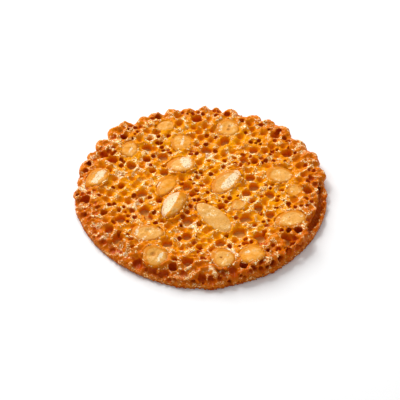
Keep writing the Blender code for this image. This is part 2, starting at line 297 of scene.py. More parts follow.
# The flakes' shape
RIDGED_FLAKE = "almond_flake_09"  # the thick one, a split kernel lying on its round side
RIDGE = 0.08  # how far across it its ridge runs
RIDGE_BEND = 0.25
FLAKE_SIDES = 90
FLAKE_RINGS = 20
GLAZED_SIDE = Vector((-0.55, 0.83, 0.0))  # the glaze is thicker towards here

# Colours of the caramel
AMBER = (0.79, 0.24, 0.0003, 1)
CLEAR_AMBER = (0.85, 0.305, 0.0005, 1)
BROWNED = (0.60, 0.125, 0.0008, 1)
# painted shade: darker and redder down in the holes, and darker still in the pits
SHADE_DEEP_DOWN = (0.66, 0.11, 0.0008, 1)
SHADE_IN_A_PIT = (0.48, 0.052, 0.001, 1)
FRINGE_AMBER = (0.80, 0.24, 0.002, 1)
SIDE_BROWN = (0.50, 0.078, 0.001, 1)
# painted shadow along the bottom of the foot
FOOT_SHADOW = (0.36, 0.055, 0.001, 1)
# painted highlight along the top of the foot's lip
LIP_HIGHLIGHT = (0.84, 0.24, 0.012, 1)
THIN_FILM = (0.70, 0.31, 0.06, 1)
# painted shade in the gaps between the froth's crumbs
SHADE_BETWEEN_CRUMBS = (0.50, 0.115, 0.0008, 1)
FROTH = (0.84, 0.38, 0.03, 1)
FOAMY = (0.95, 0.54, 0.20, 1)
# the specks are painted glints of the froth's tiny bubbles, and partly the froth's own pale colour
GLINT_SPECK = (1.0, 0.80, 0.34, 1)
BROWNED_GLINT_SPECK = (1.0, 0.68, 0.28, 1)
BRIGHT_GLINT_SPECK = (1.0, 0.90, 0.58, 1)
FOAM_GLINT_SPECK = (1.0, 0.88, 0.68, 1)
SIDE_GLINT_SPECK = (1.0, 0.54, 0.20, 1)

# Colours of the almond flakes
PALE_GLAZE = (0.76, 0.385, 0.10, 1)
BROWN_GLAZE = (0.80, 0.275, 0.008, 1)
CREAM = (0.90, 0.54, 0.18, 1)
TOASTED = (0.70, 0.31, 0.025, 1)
FLESH = (0.80, 0.58, 0.31, 1)
PALE_FLESH = (0.92, 0.77, 0.54, 1)
FLESH_DOT = (0.42, 0.22, 0.07, 1)
GLAZE_DOT = (0.58, 0.24, 0.03, 1)
BORDER = (0.66, 0.205, 0.002, 1)
# painted glints: pale flecks along the flakes' edges and scattered over them
BORDER_GLINT_FLECK = (1.0, 0.80, 0.46, 1)
GLINT_FLECK = (1.0, 0.82, 0.50, 1)
# painted shade in the flakes' dents
DENT_SHADE = (0.42, 0.085, 0.003, 1)

# The stage, in metres and watts
FLOOR_COLOUR = (0.93, 0.93, 0.93, 1)
WORLD_STRENGTH = 0.52
LIGHTS = (  # name, place, width and power
    ("key", (-0.30, 0.55, 0.50), 0.7, 7.1),
    ("spark", (-0.32, 0.3, 0.65), 0.045, 0.85),
)
CAMERA_LENS = 120
CAMERA_AIM = Vector((-0.0002, -0.0011, 0.0))
CAMERA_ELEVATION = 44.5
CAMERA_DISTANCE = 0.4723


# ---------------------------------------------------------------------------------------
# Node trees written as expressions


class Socket:
    """A node's output. Python's operators on it add Math or Vector Math nodes to its tree."""

    def __init__(self, tree, output):
        self.tree = tree
        self.output = output

    def _is_vector(self):
        return self.output.type in ("VECTOR", "RGBA")

    def calculate(self, operation, *others):
        vector = self._is_vector() or any(
            isinstance(other, Socket) and other._is_vector() for other in others
        )
        kind = "ShaderNodeVectorMath" if vector else "ShaderNodeMath"
        return self.tree.add(kind, {"operation": operation}, dict(enumerate((self, *others))))

    def __add__(self, other):
        return self.calculate("ADD", other)

    def __radd__(self, other):
        return self.calculate("ADD", other)

    def __sub__(self, other):
        return self.calculate("SUBTRACT", other)

    def __rsub__(self, other):
        return (self * -1.0).calculate("ADD", other)

    def __mul__(self, other):
        return self.calculate("MULTIPLY", other)

    def __truediv__(self, other):
        return self.calculate("DIVIDE", other)

    def __pow__(self, power):
        return self.calculate("POWER", power)

    def __abs__(self):
        return self.calculate("ABSOLUTE")


class Tree:
    """A node tree that is being built."""

    def __init__(self, tree):
        self.tree = tree

    def add(self, kind, settings=None, sockets=None, output=0):
        """Adds a node: its settings are set first, then the values or links of its sockets.
        Gives back the chosen output, or the node itself when output is None."""
        node = self.tree.nodes.new(kind)
        for name, value in (settings or {}).items():
            setattr(node, name, value)
        for key, value in (sockets or {}).items():
            self.plug(node.inputs[key], value)
        return node if output is None else Socket(self, node.outputs[output])

    def plug(self, entry, value):
        if isinstance(value, Socket):
            self.tree.links.new(value.output, entry)
        elif entry.type == "VECTOR" and not hasattr(value, "__len__"):
            entry.default_value = (value, value, value)
        else:
            entry.default_value = value

    def split(self, vector):
        node = self.add("ShaderNodeSeparateXYZ", None, {0: vector}, None)
        return [Socket(self, output) for output in node.outputs]

    def join(self, x, y, z):
        return self.add("ShaderNodeCombineXYZ", None, {0: x, 1: y, 2: z})

    def smooth_step(self, low, high, value):
        return self.add(
            "ShaderNodeMapRange",
            {"interpolation_type": "SMOOTHSTEP", "clamp": True},
            {"Value": value, "From Min": low, "From Max": high},
        )

    def mix(self, share, first, second):
        return self.add(
            "ShaderNodeMix",
            {"data_type": "RGBA", "blend_type": "MIX", "clamp_factor": True},
            {0: share, 6: first, 7: second},
            2,
        )

    def noise(self, place, width, detail=2.0, output=0):
        """Noise about 0.5 with lumps of a width, in millimetres."""
        return self.add(
            "ShaderNodeTexNoise",
            None,
            {"Vector": place, "Scale": 1 / width, "Detail": detail, "Roughness": 0.5},
            output,
        )

    def cells(self, place, width, smoothness, flat=False):
        """Distance to the nearest of scattered points, which are a width apart."""
        return self.add(
            "ShaderNodeTexVoronoi",
            {"feature": "SMOOTH_F1", "voronoi_dimensions": "2D" if flat else "3D"},
            {"Vector": place, "Scale": 1 / width, "Smoothness": smoothness},
        )

    def attribute(self, name):
        return self.add("ShaderNodeAttribute", {"attribute_name": name}, None, "Fac")


def smooth_min(first, second, width):
    """The lesser of two fields, with the crease between them rounded over a width."""
    return first.calculate("SMOOTH_MIN", second, width)


def smooth_max(first, second, width):
    return first.calculate("SMOOTH_MAX", second, width)


# ---------------------------------------------------------------------------------------
# The almond flakes' places, read from the CAD


def flake_axes(node):
    """A flake's middle, its axes (along, across, up) and its half sizes, in millimetres."""
    places = np.array([vertex.co for vertex in node.data.vertices]) / MM
    places = np.unique(places.round(4), axis=0)
    middle = (places.max(axis=0) + places.min(axis=0)) / 2
    _, axes = np.linalg.eigh(np.cov((places - places.mean(axis=0)).T))
    up = Vector(axes[:, 0])
    along = Vector(axes[:, 2])
    if up.z < 0:
        up = -up
    if ((places - middle) @ np.array(along)).mean() < 0:
        along = -along
    across = up.cross(along).normalized()
    matrix = Matrix((along, across, up)).transposed()
    local = (places - middle) @ np.array(matrix)
    low = local.min(axis=0)
    high = local.max(axis=0)
    middle = Vector(middle) + matrix @ Vector((low + high) / 2) - BACK_SHIFT
    return middle, matrix, Vector((high - low) / 2)


FLAKES = {
    name: flake_axes(node)
    for name, node in sorted(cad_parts.items())
    if name.startswith("almond_flake")
}


def near_flake(x, y, margin):
    for middle, axes, half in FLAKES.values():
        away = axes.transposed() @ (Vector((x, y, middle.z)) - middle)
        if (away.x / (half.x + margin)) ** 2 + (away.y / (half.y + margin)) ** 2 < 1:
            return True
    return False


# ---------------------------------------------------------------------------------------
# The bubbles


def top_holes():
    """The holes in rows over the top and the widest ones, as (x, y, width)."""
    draw = random.Random(SEED)
    turn = Matrix.Rotation(math.radians(ROW_HEADING), 2)
    reach = int(RADIUS / BETWEEN_ROWS) + 2
    holes = []
    for row in range(-reach, reach + 1):
        for place in range(-reach, reach + 1):
            spot = Vector((place + 0.5 * (row % 2), row))
            spot += Vector((draw.gauss(0, JITTER), draw.gauss(0, JITTER)))
            spot = turn @ Vector((spot.x * ALONG_ROW, spot.y * BETWEEN_ROWS))
            width = HOLE_MIN + (HOLE_MAX - HOLE_MIN) * draw.random() ** HOLE_SKEW
            if MIDDLE_KEPT + width / 2 < spot.length < HOLE_FIELD:
                holes.append((spot.x, spot.y, width))
    holes.sort(key=lambda hole: -hole[2])
    kept = list(WIDE_HOLES)
    for x, y, width in holes:
        if clear_of(kept, x, y, width, HOLE_WALL):
            kept.append((x, y, width))
    return kept


def swell(angle, heading, half_width):
    """1 at a heading, falling away over a half width in degrees."""
    away = math.cos(angle - math.radians(heading)) - 1
    return math.exp(2 * away / math.radians(half_width) ** 2)


def outline(angle):
    """The round's size at an angle, as a share of its radius."""
    return 1 + sum(share * swell(angle, heading, width) for heading, width, share in BULGES)


def smooth_step(low, high, value):
    share = min(1.0, max(0.0, (value - low) / (high - low)))
    return share * share * (3 - 2 * share)


def setback(angle):
    """How far the lobed half's edge lies in."""
    side = math.sin(angle)
    return SETBACK * smooth_step(-0.2, 0.1, side) + SETBACK_BEHIND * max(0.0, side)


def on_terrace(x, y):
    return TERRACE_FROM < math.degrees(math.atan2(y, x)) < TERRACE_TO


def clear_of(places, x, y, width, wall):
    """Whether a hole keeps a wall from all of the places, which are (x, y, width)."""
    return all(
        math.hypot(x - other_x, y - other_y) > (width + other) / 2 + wall
        for other_x, other_y, other in places
    )


def top_height(radius):
    """The lace's height on average, at a distance from the middle."""
    share = min(1.0, max(0.0, (radius - CROWN_RADIUS + RISE) / RISE))
    return CENTRE_HEIGHT + (CROWN_HEIGHT - CENTRE_HEIGHT) * share * share * (3 - 2 * share)


def ring(draw, count, radius, wander):
    """Uneven places round the side, as (x, y)."""
    for place in range(count):
        angle = math.tau * (place + 0.6 * (draw.random() - 0.5)) / count
        reach = (radius + wander * (draw.random() - 0.5)) * outline(angle) - 0.8 * setback(angle)
        yield reach * math.cos(angle), reach * math.sin(angle)


def burrow(x, y, z, width):
    """A bubble that opens in the rim's side, and another behind it."""
    share = 1 - (0.3 + 0.5 * width) / RADIUS
    return (x, y, z, width, "rim"), (x * share, y * share, z - 0.2, width * 0.85, "rim")


def top_bubbles(draw):
    """Bubbles that open upwards: burst ones, some deep ones, and wide shallow bowls."""
    for x, y, width in top_holes():
        if near_flake(x, y, width / 2):
            continue
        top = top_height(math.hypot(x, y))
        least_y, least_distance = SHALLOW_BEHIND
        shallow = 0.4 if y > least_y and math.hypot(x, y) > least_distance else 0.0
        if width > WIDE - 0.2:
            yield x, y, top - 0.5, width * 1.1, "top"
        elif draw.random() < 0.42 - y / 160 - shallow:
            yield x, y, top - 0.9, width * 0.8 + 0.6, "top"
        else:
            width = width * 0.4 + 2.2
            yield x, y, top + 0.8 * width, width, "top"


def rim_bubbles(draw, side_pits):
    holes = (*RIM_HOLES, *side_pits)
    foam = [(x, y, 2 * radius) for x, y, radius in FOAM_PATCHES]
    for x, y in ring(draw, *RIM_RING):
        angle = math.atan2(y, x)
        fewer = swell(angle, *FEW_IN_FRONT) * 0.8 + swell(angle, *FEW_BEHIND) * 0.9
        width = 1.3 + 1.0 * draw.random() ** 1.5
        if draw.random() < fewer or near_flake(x, y, width / 2):
            continue
        if clear_of(holes, x, y, width, 0.3) and clear_of(foam, x, y, width, -0.8):
            yield x, y, 4.9 - 1.3 * swell(angle, *LOW_RIM), width, "rim"


def side_bubbles(draw, side_pits):
    for x, y in ring(draw, *SIDE_RING):
        closed = swell(math.atan2(y, x), *CLOSED_SIDE)
        width = 1.2 + 1.0 * draw.random()
        if draw.random() > closed and clear_of(side_pits, x, y, width, 0.1):
            depth = draw.random()
            inward = 1 - 0.03 * depth
            yield from burrow(x * inward, y * inward, 1.9 + 2.6 * depth, width)


def terrace_bubbles(draw):
    for x, y in ring(draw, *TERRACE_RING):
        if on_terrace(x, y):
            yield x, y, 2.1, 1.7 + 1.2 * draw.random(), "rim"


def small_bubbles(draw, taken):
    """Small bubbles wherever the others leave room for them."""
    taken = [(x, y, width) for x, y, _, width, _ in taken]
    for _ in range(SMALL_TRIES):
        angle = math.tau * draw.random()
        radius = SMALL_FIELD * math.sqrt(draw.random())
        x, y = radius * math.cos(angle), radius * math.sin(angle)
        width = 1.2 + 0.5 * draw.random()
        if clear_of(taken, x, y, width, 0.15) and not near_flake(x, y, width * 0.7):
            taken.append((x, y, width))
            yield x, y, top_height(radius) - 0.1, width, "rim"


def low_bubbles(draw):
    """Bubbles just below the underside, which is flat: they only tint it."""
    for _ in range(LOW_BUBBLES):
        angle = math.tau * draw.random()
        radius = LOW_FIELD * math.sqrt(draw.random())
        width = 1.0 + 1.3 * draw.random()
        yield radius * math.cos(angle), radius * math.sin(angle), -width * 0.8, width, "rim"


def bubble_sites():
    """Every bubble of the lace as (x, y, z, width, family), in millimetres."""
    draw = random.Random(SEED + 20)
    side_pits = [(x, y, width) for x, y, _, width in SIDE_PITS]
    sites = list(top_bubbles(draw))
    sites += [(x, y, EDGE_HEIGHT, width, "edge") for x, y, width in RIM_HOLES]
    for pit in SIDE_PITS:
        sites += burrow(*pit)
    sites += rim_bubbles(draw, side_pits)
    sites += side_bubbles(draw, side_pits)
    sites += terrace_bubbles(draw)
    sites += list(small_bubbles(draw, sites))
    sites += low_bubbles(draw)
    return sites


def nearest_width(width):
    return min(WIDTHS, key=lambda known: abs(known - width))


def flake_rings():
    """Rings where the caramel laps each flake, and discs where it sits, as (kind, points)."""
    for name, (middle, axes, half) in FLAKES.items():
        lap = GLAZE[name][1]
        rings = (
            (COLLAR, 1.06 - 0.2 * lap, 0.3 * lap - 0.1),
            (SEAT, 0.95, -0.1),
            (SEAT, 1.0 - 0.3 * lap, 0.4),
            (SEAT, 1.0 - 0.3 * lap, 0.85),
        )
        for kind, share, lift in rings:
            points = []
            for side in range(COLLAR_SIDES):
                angle = math.tau * side / COLLAR_SIDES
                spot = Vector((math.cos(angle), math.sin(angle), middle.x))
                reach = share + noise.noise(spot * 1.6) * (0.06 + 0.6 * lap) * (lift > 0.3)
                local = Vector((spot.x * half.x * reach, spot.y * half.y * reach, lift))
                points.append(middle + axes @ local)
            yield kind, points


def sites_object(sites, families):
    """The points, rings and discs from which the caramel is grown, each with its family."""
    places = [site[:3] for site in sites]
    sorts = [families.index((place, nearest_width(width))) for _, _, _, width, place in sites]
    edges, faces = [], []
    for kind, points in flake_rings():
        first = len(places)
        corners = [first + side for side in range(len(points))]
        if kind == COLLAR:
            edges += zip(corners, corners[1:] + corners[:1])
        else:
            faces.append(corners)
        places += points
        sorts += [kind] * len(points)
    places += [(x, y, radius) for x, y, radius in FOAM_PATCHES]
    sorts += [FOAM] * len(FOAM_PATCHES)
    mesh = bpy.data.meshes.new("bubble_sites")
    mesh.from_pydata(places, edges, faces)
    family = mesh.attributes.new("family", "INT", "POINT")
    family.data.foreach_set("value", sorts)
    made = bpy.data.objects.new("bubble_sites", mesh)
    bpy.context.scene.collection.objects.link(made)
    return made


def lace_tree(families):
    """Geometry nodes that grow the caramel's surface round the bubbles. They build a field, in
    millimetres, that is above 0 inside the caramel."""
    group = bpy.data.node_groups.new("caramel_lace", "GeometryNodeTree")
    face = group.interface
    face.new_socket("Bubbles", in_out="INPUT", socket_type="NodeSocketGeometry")
    voxel_socket = face.new_socket("Voxel", in_out="INPUT", socket_type="NodeSocketFloat")
    finish_socket = face.new_socket("Finish", in_out="INPUT", socket_type="NodeSocketMaterial")
    face.new_socket("Lace", in_out="OUTPUT", socket_type="NodeSocketGeometry")
    n = Tree(group)
    entry = n.add("NodeGroupInput", output=None)
    bubbles = Socket(n, entry.outputs["Bubbles"])
    voxel = Socket(n, entry.outputs["Voxel"])

    place = n.add("GeometryNodeInputPosition")
    x, y, z = n.split(place)
    radius = (x * x + y * y) ** 0.5
    angle = y.calculate("ARCTAN2", x)

    # the outline, with its lobes, terrace, slopes and groove
    def bell(heading, half_width):
        away = (angle - math.radians(heading)).calculate("COSINE") - 1.0
        return (away * (2 / math.radians(half_width) ** 2)).calculate("EXPONENT")

    def arc(heading, half_width, height):
        away = 1.0 - (angle - math.radians(heading)).calculate("COSINE")
        return height - away * (2 * height / math.radians(half_width) ** 2)

    reach = sum(bell(heading, width) * share for heading, width, share in BULGES)
    near_edge = n.smooth_step(0.3 * RADIUS, 0.97 * RADIUS, radius)
    spread = radius / (reach * near_edge + 1.0)

    lobes = arc(*LOBES[0]).calculate("MAXIMUM", 0.0)
    for lobe in LOBES[1:]:
        lobes = lobes.calculate("MAXIMUM", arc(*lobe))
    lobed = n.smooth_step(-0.2, 0.1, y / radius)
    behind = (y / radius).calculate("MAXIMUM", 0.0)
    set_back = lobed * SETBACK + behind * SETBACK_BEHIND
    start, end = math.radians(TERRACE_FROM), math.radians(TERRACE_TO)
    sharp, gentle = math.radians(1.5), math.radians(6)
    opening = n.smooth_step(start - sharp, start + sharp, angle)
    terrace = opening * n.smooth_step(end + gentle, end - gentle, angle)
    back = bell(*FRINGE)
    slope = sum(bell(heading, width) * share for heading, width, share in SLOPES)
    slope = slope.calculate("MINIMUM", 1.0)
    front = bell(*FRONT) * (1.0 - terrace)
    push = 0.7 - set_back + lobes - terrace * TERRACE - slope * 0.4 - front * 0.5
    groove = terrace * 2.2 + 0.4
    pushed = spread - push

    # the top's height
    rise = n.smooth_step(CROWN_RADIUS - RISE, CROWN_RADIUS, spread + set_back + terrace * 2.0)
    flat = n.join(x, y, 0.0)
    relief = n.noise(flat, 7.0, 1.0) - 0.5
    warp = n.noise(place, 2.4, 1.0, 1) - 0.5
    warped = place + warp * 1.0
    heading = math.radians(ROW_HEADING)
    along_x, along_y, _ = n.split(warped)
    aside = along_y * math.cos(heading) - along_x * math.sin(heading)
    threads = (aside * (math.tau / BETWEEN_ROWS)).calculate("COSINE")
    knobs = n.noise(flat, 2.6, 1.0) - 0.5
    height = rise * (CROWN_HEIGHT - CENTRE_HEIGHT) + (CENTRE_HEIGHT + 0.1)
    dimples = n.cells(warped, 2.0, 0.15, flat=True)
    height = height + relief * 0.6 - threads * 0.26 * (1.0 - rise * 0.6)
    height = height + knobs * (rise * 0.9 + 0.4)
    pocks = n.cells(warped, 1.3, 0.1, flat=True)
    height = height + (dimples - 0.4) * 0.9 + (pocks - 0.4) * 0.45
    outer = n.smooth_step(39.5, 43.5, pushed)
    height = height - slope * n.smooth_step(36.0, 45.0, spread) * 2.9
    height = height + (lobes - 1.0) * outer * lobed * 0.5

    # the body: a round crown, a core below its middle, and the foot
    under = 1.7 - slope * 1.5 - front * 2.2
    middle = (height + under) * 0.5
    half = (height - under) * 0.5
    spreading = slope * 0.8 + 1.2
    out = ((pushed - SHOULDER_RADIUS) / spreading + half).calculate("MAXIMUM", 0.0)
    lift = z - middle
    crown = half - (out * out + lift * lift) ** 0.5
    core = smooth_min(RADIUS - groove - set_back - spread - 0.5, height - z, 0.4)
    lip = terrace * 0.35 + FOOT_HEIGHT / 2
    out = (spread + set_back - lobes * 0.7 - RADIUS + lip).calculate("MAXIMUM", 0.0)
    lift = z - lip
    foot = lip - (out * out + lift * lift) ** 0.5
    # a ridge along the terrace's outer edge
    over = spread - 43.6
    lift = z - 1.9
    foot = smooth_max(foot, 0.8 - (over * over + lift * lift) ** 0.5 - (1.0 - terrace) * 2.0, 0.4)
    body = smooth_max(smooth_max(crown, core, 0.6), foot, 0.6)
    edge = n.smooth_step(CROWN_RADIUS - 5, CROWN_RADIUS + 1, pushed)
    cells = n.cells(warped, 2.5, 0.15)
    lumps = n.noise(place, 1.2, 1.0) - 0.5
    above = n.smooth_step(1.0, 2.2, z)
    fringe = back * n.smooth_step(42.2, 43.5, pushed + lobes * 0.5)
    rough = edge * above * (1.0 - back * 0.4) * (1.0 - fringe)
    crumbs = n.noise(place, 0.75, 0.0) - 0.5
    lumps = lumps * (above * 0.2 + front * 0.7 + slope * 0.3 + 0.25)
    lumps = lumps + crumbs * (edge * 0.35 + (front * 0.6 + slope * 0.35) * edge + 0.1)
    body = body + lumps * (1.0 - fringe * 0.6) + (cells - 0.45) * (rough * 1.1 + 0.1)

    def distance_to(number, target, spot, shape=(1, 1, 1)):
        """Distance from a spot to the points, edges or faces of one family."""
        sort = n.add("GeometryNodeInputNamedAttribute", {"data_type": "INT"}, {"Name": "family"})
        same = n.add(
            "FunctionNodeCompare",
            {"data_type": "INT", "operation": "EQUAL"},
            {2: sort, 3: number},
        )
        part = n.add(
            "GeometryNodeSeparateGeometry",
            {"domain": "POINT"},
            {"Geometry": bubbles, "Selection": same},
        )
        part = n.add("GeometryNodeTransform", None, {"Geometry": part, "Scale": shape})
        return n.add(
            "GeometryNodeProximity",
            {"target_element": target},
            {0: part, "Source Position": spot},
            "Distance",
        )

    # flakes' seats and the caramel round them
    body = smooth_min(body, distance_to(SEAT, "FACES", place) - 0.25, 0.2)
    collar = distance_to(COLLAR, "EDGES", place + warp * 0.5)
    thickness = n.noise(place, 1.6, 0.0) * 1.5 - 0.35
    body = smooth_max(body, thickness - collar, 0.5)

    # bubbles
    spot = warped * n.join(1.0, 1.0, STRETCH)
    film = None
    wall = None
    pit = None
    for number, (kind, width) in enumerate(families):
        round_one = kind == "rim"
        shape = (1, 1, 1) if round_one else (1, 1, STRETCH)
        gap = distance_to(number, "POINTS", warped if round_one else spot, shape) - width / 2
        if kind == "top":
            if width > WIDE:
                inside = n.smooth_step(0.45, 0.05, gap)
                film = inside if film is None else film.calculate("MAXIMUM", inside)
            gap = smooth_max(gap, (FILM_HEIGHT if width > WIDE else PIT_FLOOR) - z, 0.5)
            wall = gap if wall is None else wall.calculate("MINIMUM", gap)
        if kind == "edge":
            gap = smooth_max(gap, EDGE_FLOOR - z, 0.4)
        if kind != "top":
            pit = gap if pit is None else pit.calculate("MINIMUM", gap)
        body = smooth_min(body, gap, 0.5 + 0.2 * width)
    body = smooth_min(body, z - 0.02, 0.25)

    count = n.add("ShaderNodeMath", {"operation": "DIVIDE"}, {0: 2 * GRID_SIDE, 1: voxel})
    tall = n.add("ShaderNodeMath", {"operation": "DIVIDE"}, {0: GRID_TOP - GRID_BOTTOM, 1: voxel})
    cube = n.add(
        "GeometryNodeVolumeCube",
        None,
        {
            "Density": body + 1.0,
            "Min": (-GRID_SIDE, -GRID_SIDE, GRID_BOTTOM),
            "Max": (GRID_SIDE, GRID_SIDE, GRID_TOP),
            "Resolution X": count,
            "Resolution Y": count,
            "Resolution Z": tall,
        },
    )
    surface = n.add(
        "GeometryNodeVolumeToMesh",
        {"resolution_mode": "GRID"},
        {"Volume": cube, "Threshold": 1.0, "Adaptivity": 0.0},
    )
    # what the material reads at each point
    film = film * n.smooth_step(FILM_HEIGHT + 0.5, FILM_HEIGHT + 0.15, z)
    sunk = (height - z) * n.smooth_step(44.0, 41.0, pushed)
    _, _, facing = n.split(n.add("GeometryNodeInputNormal"))
    foam = distance_to(FOAM, "POINTS", n.join(x, y, 0.0) + warp * 1.5)
    stored = (
        ("foam", foam),
        ("sunk", sunk),
        ("wall", wall),
        ("film", film),
        ("crest", dimples),
        ("collar", collar),
        ("pit", pit),
        ("fringe", fringe),
        ("facing", facing),
    )
    for name, value in stored:
        surface = n.add(
            "GeometryNodeStoreNamedAttribute",
            {"data_type": "FLOAT", "domain": "POINT"},
            {"Geometry": surface, "Name": name, "Value": value},
        )
    surface = n.add(
        "GeometryNodeTransform",
        None,
        {"Geometry": surface, "Translation": BACK_SHIFT * MM, "Scale": (MM, MM, MM)},
    )
    surface = n.add("GeometryNodeSetShadeSmooth", None, {"Geometry": surface})
    finish = Socket(n, entry.outputs["Finish"])
    surface = n.add("GeometryNodeRealizeInstances", None, {"Geometry": surface})
    surface = n.add("GeometryNodeSetMaterial", None, {"Geometry": surface, "Material": finish})
    leave = n.add("NodeGroupOutput", output=None)
    n.plug(leave.inputs[0], surface)
    return group, voxel_socket.identifier, finish_socket.identifier


def evaluated(source, name):
    """A plain mesh object of what the source's modifiers make, in its stead."""
    bpy.context.view_layer.update()
    ready = source.evaluated_get(bpy.context.evaluated_depsgraph_get())
    mesh = bpy.data.meshes.new_from_object(ready)
    mesh.name = name
    bpy.data.objects.remove(source, do_unlink=True)
    made = bpy.data.objects.new(name, mesh)
    bpy.context.scene.collection.objects.link(made)
    return made


def make_lace():
    sites = bubble_sites()
    families = sorted({(site[4], nearest_width(site[3])) for site in sites})
    tree, voxel, finish = lace_tree(families)
    source = sites_object(sites, families)
    grow = source.modifiers.new("grow", "NODES")
    grow.node_group = tree
    grow[voxel] = VOXEL
    grow[finish] = caramel_material()
    lace = evaluated(source, "caramel")
    triangles = sum(len(face.vertices) - 2 for face in lace.data.polygons)
    if triangles > TRIANGLE_LIMIT:
        thin = lace.modifiers.new("thin", "DECIMATE")
        thin.ratio = TRIANGLES_KEPT / triangles
        lace = evaluated(lace, "caramel")
    return lace


def speckles(n, place, width, low, high):
    """Small round spots, a width apart in millimetres."""
    cells = n.add("ShaderNodeTexVoronoi", {"feature": "F1"}, {"Vector": place, "Scale": 1 / width})
    return n.smooth_step(high, low, cells)


def caramel_material():
    made = bpy.data.materials.new("caramel")
    made.use_nodes = True
    n = Tree(made.node_tree)
    shader = made.node_tree.nodes["Principled BSDF"]
    place = n.add("ShaderNodeTexCoord", None, None, "Object") * (1 / MM) - BACK_SHIFT
    x, y, z = n.split(place)
    radius = (x * x + y * y) ** 0.5
    sunk = n.attribute("sunk")
    wall = n.attribute("wall")
    film = n.attribute("film")

    # amber, browner at the rim and round the front; painted shade down in the holes and pits, a
    # painted shadow along the foot's bottom and a painted highlight on the lip
    patches = n.noise(place, 9, 2.0)
    colour = n.mix(n.smooth_step(0.35, 0.65, patches), AMBER, CLEAR_AMBER)
    fringe = n.attribute("fringe")
    browning = n.smooth_step(30, 42, radius + (patches - 0.5) * 14.0 - y * 0.06)
    colour = n.mix(browning * 0.9, colour, BROWNED)
    # painted shade: darker and redder the further below the top
    colour = n.mix(n.smooth_step(0.3, 2.6, sunk) * 0.8, colour, SHADE_DEEP_DOWN)
    # painted shade in the pits
    pit_shade = n.smooth_step(0.35, 0.0, n.attribute("pit"))
    colour = n.mix(pit_shade * 0.9, colour, SHADE_IN_A_PIT)
    colour = n.mix(fringe * 0.8, colour, FRINGE_AMBER)
    beyond = n.smooth_step(41.4, 43.4, radius) * n.smooth_step(10.0, -10.0, y)
    colour = n.mix(beyond * 0.5, colour, SIDE_BROWN)
    # painted shadow: darker along the foot's bottom, in front
    colour = n.mix(n.smooth_step(1.4, 0.7, z) * beyond * 0.8, colour, FOOT_SHADOW)
    # painted highlight: a lighter band along the top of the lip, in front
    lip = n.smooth_step(1.2, 1.5, z) * n.smooth_step(2.2, 1.7, z) * beyond
    colour = n.mix(lip * 0.5, colour, LIP_HIGHLIGHT)
    colour = n.mix(film, colour, THIN_FILM)

    # froth of tiny bubbles along the ridges: pale specks, painted glints and partly the froth's
    # own pale colour, and darker gaps, painted shade
    crest = n.attribute("crest")
    lap = n.smooth_step(1.5, 0.3, n.attribute("collar"))
    foam = n.smooth_step(4.0, 2.0, n.attribute("foam"))
    clusters = n.noise(place, 2.2, 1.0) + (crest - 0.4) * 0.3 - lap * 0.05 + foam * 0.12
    ridge = n.smooth_step(0.05, 0.4, wall) * n.smooth_step(1.0, 0.3, sunk)
    froth = n.smooth_step(0.46, 0.62, clusters) * ridge * (1.0 - pit_shade) * (1.0 - fringe * 0.6)
    crumbs = n.noise(place, 0.45, 0.0)
    threads = abs(n.noise(place, 1.1, 0.0) - 0.5)
    upward = n.smooth_step(0.55, 0.9, n.attribute("facing") + beyond * 0.3)
    # painted shade: darker gaps between the crumbs
    shaded_gaps = n.smooth_step(0.48, 0.38, crumbs) * n.smooth_step(0.42, 0.52, clusters) * ridge
    colour = n.mix(shaded_gaps * 0.7, colour, SHADE_BETWEEN_CRUMBS)
    colour = n.mix(froth * 0.12, colour, FROTH)
    colour = n.mix(foam * froth * 0.5, colour, FOAMY)
    # pale specks on upward faces: painted glints, and partly the froth's own pale colour
    glint_grains = n.smooth_step(0.56, 0.60, crumbs)
    glint_spots = glint_grains.calculate("MAXIMUM", n.smooth_step(0.035, 0.015, threads))
    glint_spots = glint_spots * froth * upward
    glint_colour = n.mix(browning, GLINT_SPECK, BROWNED_GLINT_SPECK)
    glint_colour = n.mix(n.smooth_step(0.60, 0.67, crumbs), glint_colour, BRIGHT_GLINT_SPECK)
    glint_colour = n.mix(foam * 0.7, glint_colour, FOAM_GLINT_SPECK)
    glint_colour = n.mix(beyond * 0.8, glint_colour, SIDE_GLINT_SPECK)
    colour = n.mix(glint_spots, colour, glint_colour)
    n.plug(shader.inputs["Base Color"], colour)

    grain = n.noise(place, 1.1, 2.0)
    n.plug(shader.inputs["Roughness"], grain * 0.12 + 0.06)
    relief = crumbs * (froth * 0.12 + 0.06) + grain * 0.14
    bump = n.add("ShaderNodeBump", None, {"Height": relief * MM, "Distance": 1.0, "Strength": 1.0})
    n.plug(shader.inputs["Normal"], bump)
    shader.inputs["Subsurface Weight"].default_value = 0.2
    shader.inputs["Subsurface Radius"].default_value = (1.0, 0.35, 0.08)
    shader.inputs["Subsurface Scale"].default_value = 0.002
    shader.inputs["Specular IOR Level"].default_value = 0.045
    return made


def bare_highlight_share(place, patches):
    """How bare of glaze a flake is at a place measured from its middle, from 0 to 1: pale flesh
    placed as a painted highlight.
    """
    share = 0.0
    for x, y, length, width, heading in patches:
        away = Matrix.Rotation(-math.radians(heading), 2) @ Vector((place.x - x, place.y - y))
        reach = math.hypot(away.x / (length / 2), away.y / (width / 2))
        strength = min(1.0, 0.3 + 0.25 * width)
        share = max(share, strength * min(1.0, max(0.0, (1.5 - reach) / 0.9)))
    return share


def dent_share(place, dents):
    """How deep in a dent a place is, from 0 to 1, and how dark the dent's painted shade is there.
    """
    deepest = 0.0
    darkest = 0.0
    for x, y, width, dark in dents:
        reach = math.hypot(place.x - x, place.y - y) / (width / 2)
        share = smooth_step(-1.4, -0.3, -reach)
        deepest = max(deepest, share)
        darkest = max(darkest, share * dark)
    return deepest, darkest


